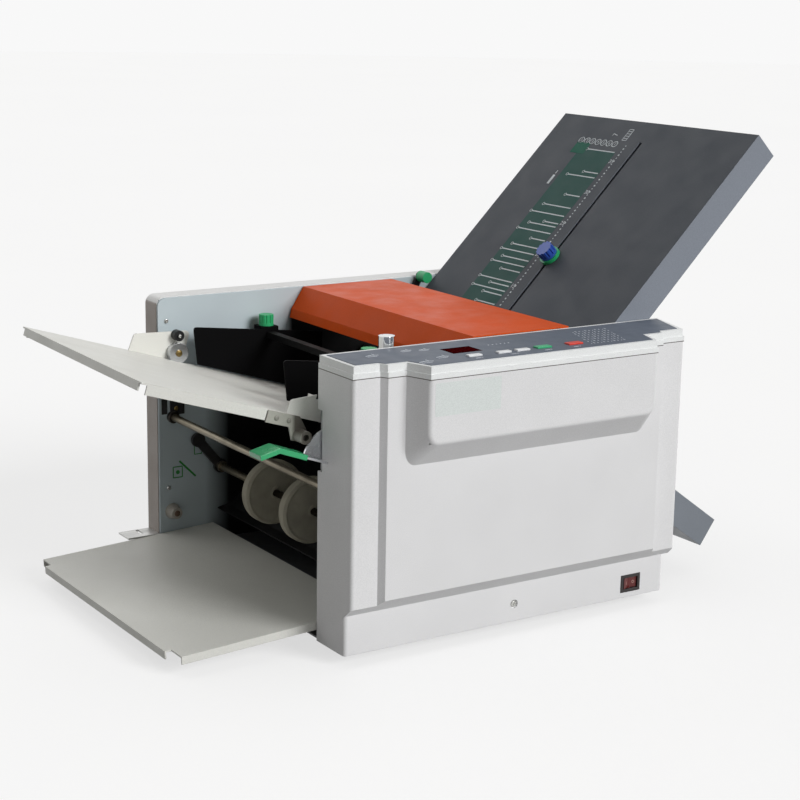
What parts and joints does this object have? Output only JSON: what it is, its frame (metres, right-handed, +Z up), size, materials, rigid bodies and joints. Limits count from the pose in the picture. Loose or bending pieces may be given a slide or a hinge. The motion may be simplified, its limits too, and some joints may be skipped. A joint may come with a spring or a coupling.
{
  "type": "paper folding machine",
  "caption": "Desk-top buckle folding machine with a sloping feed table, side guides, fold rollers, two fold plates and a low delivery tray.",
  "frame": {"origin": "on the floor, under the middle of the machine's bounding box", "axes": "+X from the feed table to the fold plates, +Y from the control side to the far side, +Z up"},
  "size_m": [0.7483, 0.4672, 0.4828],
  "materials": {
    "near_housing": "fine-grained moulding",
    "housing_cap": "satin moulding",
    "control_overlay": "printed film",
    "display_window": "dark red window",
    "button_first": "satin",
    "button_second": "satin",
    "button_third": "satin",
    "start_button": "satin green",
    "stop_button": "satin red",
    "circuit_board": "board laminate",
    "power_switch_frame": "black",
    "power_rocker": "dark red",
    "power_inlet": "black",
    "near_side_frame": "pale powder coat",
    "far_side_frame": "pale blue-grey coat",
    "far_cover": "pale coat",
    "base_plate": "grey coat",
    "tray_bracket": "bare sheet",
    "rubber_feet": "black rubber",
    "feed_tray": "pale grey coat",
    "ear_roller": "black",
    "tray_hinge_bracket": "zinc",
    "tray_pivot_discs": "turned",
    "lift_cam": "pressed sheet",
    "lever_grip": "green",
    "guide_rail": "dark",
    "far_side_guide": "black",
    "far_guide_knob": "green",
    "near_side_guide": "black",
    "near_guide_knob": "green",
    "pressure_knob": "polished",
    "fold_roller_cover": "orange-brown",
    "fold_roller_a": "ground",
    "fold_roller_c": "ground",
    "fold_roller_d": "ground",
    "fold_roller_b": "ground",
    "roller_bearings": "sintered bronze",
    "feed_roller": "soft rubber",
    "feed_separator": "rubber on steel",
    "paper_guides": "bright sheet",
    "drive_motor": "dark",
    "motor_pulley": "turned",
    "drive_belts": "toothed rubber",
    "power_supply": "perforated case",
    "stacker_arms": "dark",
    "stacker_shaft": "browned",
    "stacker_discs": "pale foam rubber",
    "cross_rod": "browned",
    "tie_bars": "zinc",
    "delivery_tray": "pale grey coat",
    "tray_peg": "white",
    "upper_plate_top": "dark grey",
    "upper_plate_bed": "blue-grey",
    "upper_stop_bar": "green ring on a steel bar",
    "upper_stop_knob": "blue",
    "lower_plate_bed": "blue-grey",
    "lower_plate_top": "dark grey",
    "lower_stop": "blue",
    "plate_latch": "black",
    "panel_screws": "zinc"
  },
  "bodies": {
    "machine": {"near_housing": "near_housing", "housing_cap": "housing_cap", "control_overlay": "control_overlay", "display_window": "display_window", "circuit_board": "circuit_board", "power_switch_frame": "power_switch_frame", "power_inlet": "power_inlet", "near_side_frame": "near_side_frame", "far_side_frame": "far_side_frame", "far_cover": "far_cover", "base_plate": "base_plate", "tray_bracket": "tray_bracket", "rubber_feet": "rubber_feet", "tray_pivot_discs": "tray_pivot_discs", "guide_rail": "guide_rail", "roller_bearings": "roller_bearings", "feed_separator": "feed_separator", "paper_guides": "paper_guides", "drive_motor": "drive_motor", "drive_belts": "drive_belts", "power_supply": "power_supply", "cross_rod": "cross_rod", "tie_bars": "tie_bars", "delivery_tray": "delivery_tray", "tray_peg": "tray_peg", "upper_plate_top": "upper_plate_top", "upper_plate_bed": "upper_plate_bed", "lower_plate_bed": "lower_plate_bed", "lower_plate_top": "lower_plate_top", "panel_screws": "panel_screws"},
    "fold_roller_b": {"fold_roller_b": "fold_roller_b"},
    "fold_roller_a": {"fold_roller_a": "fold_roller_a"},
    "fold_roller_c": {"fold_roller_c": "fold_roller_c"},
    "fold_roller_d": {"fold_roller_d": "fold_roller_d"},
    "feed_roller": {"feed_roller": "feed_roller"},
    "motor_pulley": {"motor_pulley": "motor_pulley"},
    "stacker_arms": {"stacker_arms": "stacker_arms"},
    "stacker_roll": {"stacker_shaft": "stacker_shaft", "stacker_discs": "stacker_discs"},
    "feed_table": {"feed_tray": "feed_tray", "ear_roller": "ear_roller", "tray_hinge_bracket": "tray_hinge_bracket"},
    "lift_lever": {"lift_cam": "lift_cam", "lever_grip": "lever_grip"},
    "far_guide": {"far_side_guide": "far_side_guide", "far_guide_knob": "far_guide_knob"},
    "near_guide": {"near_side_guide": "near_side_guide", "near_guide_knob": "near_guide_knob"},
    "pressure_knob": {"pressure_knob": "pressure_knob"},
    "roller_cover": {"fold_roller_cover": "fold_roller_cover"},
    "upper_stop": {"upper_stop_bar": "upper_stop_bar", "upper_stop_knob": "upper_stop_knob"},
    "lower_stop": {"lower_stop": "lower_stop"},
    "latch": {"plate_latch": "plate_latch"},
    "button_first": {"button_first": "button_first"},
    "button_second": {"button_second": "button_second"},
    "button_third": {"button_third": "button_third"},
    "start_button": {"start_button": "start_button"},
    "stop_button": {"stop_button": "stop_button"},
    "power_rocker": {"power_rocker": "power_rocker"}
  },
  "joints": [
    {"name": "fold_roller_b_spin", "type": "hinge", "parent": "machine", "child": "fold_roller_b", "pos_m": [0.09319, 0.03255, 0.19], "axis": [0, 1, 0], "continuous": true},
    {"name": "fold_roller_a_spin", "type": "hinge", "parent": "machine", "child": "fold_roller_a", "pos_m": [0.06988, 0.03255, 0.20888], "axis": [0, 1, 0], "continuous": true},
    {"name": "fold_roller_c_spin", "type": "hinge", "parent": "machine", "child": "fold_roller_c", "pos_m": [0.11403, 0.03255, 0.21158], "axis": [0, 1, 0], "continuous": true},
    {"name": "fold_roller_d_spin", "type": "hinge", "parent": "machine", "child": "fold_roller_d", "pos_m": [0.09319, 0.03255, 0.16], "axis": [0, 1, 0], "continuous": true},
    {"name": "feed_roller_spin", "type": "hinge", "parent": "machine", "child": "feed_roller", "pos_m": [0.017, 0.03255, 0.18911], "axis": [0, 1, 0], "continuous": true},
    {"name": "motor_spin", "type": "hinge", "parent": "machine", "child": "motor_pulley", "pos_m": [0.13719, 0.03255, 0.108], "axis": [0, 1, 0], "continuous": true},
    {"name": "stacker_arms_lift", "type": "hinge", "parent": "machine", "child": "stacker_arms", "pos_m": [-0.15481, 0.03255, 0.134], "axis": [0, 1, 0], "range_deg": [-20, 0]},
    {"name": "stacker_roll_spin", "type": "hinge", "parent": "stacker_arms", "child": "stacker_roll", "pos_m": [-0.12731, 0.03255, 0.101], "axis": [0, 1, 0], "continuous": true},
    {"name": "feed_table_tilt", "type": "hinge", "parent": "machine", "child": "feed_table", "pos_m": [-0.18211, 0.03255, 0.237], "axis": [0, 1, 0], "range_deg": [0, 3]},
    {"name": "lift_lever_turn", "type": "hinge", "parent": "machine", "child": "lift_lever", "pos_m": [-0.18281, -0.14245, 0.19], "axis": [0, 1, 0], "range_deg": [-30, 0]},
    {"name": "far_guide_slide", "type": "slide", "parent": "machine", "child": "far_guide", "axis": [0, 1, 0], "range_m": [-0.12, 0]},
    {"name": "near_guide_slide", "type": "slide", "parent": "machine", "child": "near_guide", "axis": [0, 1, 0], "range_m": [-0.075, 0.06]},
    {"name": "pressure_knob_turn", "type": "hinge", "parent": "machine", "child": "pressure_knob", "pos_m": [-0.11181, -0.12545, 0.304], "axis": [0, 0, 1], "range_deg": [-170, 170]},
    {"name": "roller_cover_lift", "type": "hinge", "parent": "machine", "child": "roller_cover", "pos_m": [0.09688, 0.03255, 0.27425], "axis": [0, 1, 0], "range_deg": [0, 60]},
    {"name": "upper_stop_slide", "type": "slide", "parent": "machine", "child": "upper_stop", "axis": [0.7071, 0, 0.7071], "range_m": [-0.119, 0.167]},
    {"name": "lower_stop_slide", "type": "slide", "parent": "machine", "child": "lower_stop", "axis": [0.8141, 0, -0.5807], "range_m": [-0.084, 0.089]},
    {"name": "latch_turn", "type": "hinge", "parent": "machine", "child": "latch", "pos_m": [0.12719, 0.20055, 0.272], "axis": [0, 1, 0], "range_deg": [-40, 0]},
    {"name": "button_first_press", "type": "slide", "parent": "machine", "child": "button_first", "axis": [0, 0, 1], "range_m": [-0.0015, 0], "stiffness_N_per_m": 400, "springref_m": 0.001},
    {"name": "button_second_press", "type": "slide", "parent": "machine", "child": "button_second", "axis": [0, 0, 1], "range_m": [-0.0015, 0], "stiffness_N_per_m": 400, "springref_m": 0.001},
    {"name": "button_third_press", "type": "slide", "parent": "machine", "child": "button_third", "axis": [0, 0, 1], "range_m": [-0.0015, 0], "stiffness_N_per_m": 400, "springref_m": 0.001},
    {"name": "start_button_press", "type": "slide", "parent": "machine", "child": "start_button", "axis": [0, 0, 1], "range_m": [-0.0015, 0], "stiffness_N_per_m": 400, "springref_m": 0.001},
    {"name": "stop_button_press", "type": "slide", "parent": "machine", "child": "stop_button", "axis": [0, 0, 1], "range_m": [-0.0015, 0], "stiffness_N_per_m": 400, "springref_m": 0.001},
    {"name": "power_rocker_tilt", "type": "hinge", "parent": "machine", "child": "power_rocker", "pos_m": [0.15469, -0.18685, 0.0273], "axis": [0, 0, 1], "range_deg": [-14, 0]}
  ],
  "couplings": [
    {"joint": "fold_roller_a_spin", "follows": "fold_roller_b_spin", "ratio": -1},
    {"joint": "fold_roller_c_spin", "follows": "fold_roller_b_spin", "ratio": -1},
    {"joint": "fold_roller_d_spin", "follows": "fold_roller_b_spin", "ratio": -1},
    {"joint": "feed_roller_spin", "follows": "fold_roller_b_spin", "ratio": -0.71429},
    {"joint": "motor_spin", "follows": "fold_roller_b_spin", "ratio": 2.6},
    {"joint": "lift_lever_turn", "follows": "feed_table_tilt", "ratio": -10}
  ]
}
